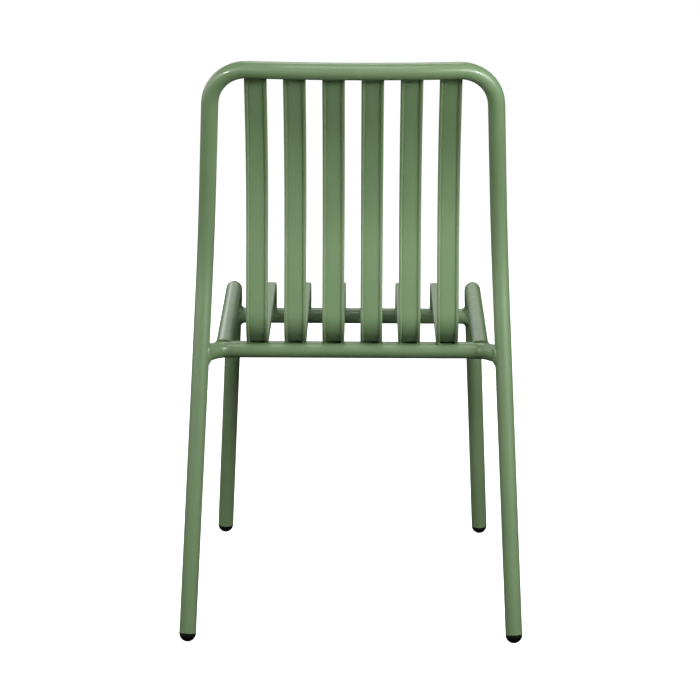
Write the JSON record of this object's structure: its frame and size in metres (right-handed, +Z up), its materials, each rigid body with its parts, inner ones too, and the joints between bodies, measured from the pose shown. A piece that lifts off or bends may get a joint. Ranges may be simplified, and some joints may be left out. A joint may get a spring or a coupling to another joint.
{
  "type": "stacking chair",
  "caption": "Powder-coated stacking chair: bent round tube hoop and side frames, with flat slats that run from the top rail down the back, round the seat and over its front edge.",
  "frame": {"origin": "on the floor, under the middle of the chair's bounding box", "axes": "+Z up, the seat opens towards -Y and the back is on the +Y side, X across the chair"},
  "size_m": [0.5148, 0.5968, 0.8687],
  "materials": {
    "powder_coat": "satin sage green powder coat",
    "foot_plastic": "matt black moulded plastic"
  },
  "bodies": {
    "root": {"rear_hoop": "powder_coat", "side_frame_left": "powder_coat", "side_frame_right": "powder_coat", "rear_cross_tube": "powder_coat", "front_cross_tube": "powder_coat", "slat_1": "powder_coat", "slat_2": "powder_coat", "slat_3": "powder_coat", "slat_4": "powder_coat", "slat_5": "powder_coat", "slat_6": "powder_coat", "weld_rear_tube_to_legs": "powder_coat", "weld_side_rails": "powder_coat", "weld_front_tube_to_legs": "powder_coat", "weld_slat_tops": "powder_coat", "weld_slats_rear": "powder_coat", "weld_slats_front": "powder_coat", "foot_plug_rear_left": "foot_plastic", "foot_plug_rear_right": "foot_plastic", "foot_plug_front_left": "foot_plastic", "foot_plug_front_right": "foot_plastic"}
  },
  "joints": []
}
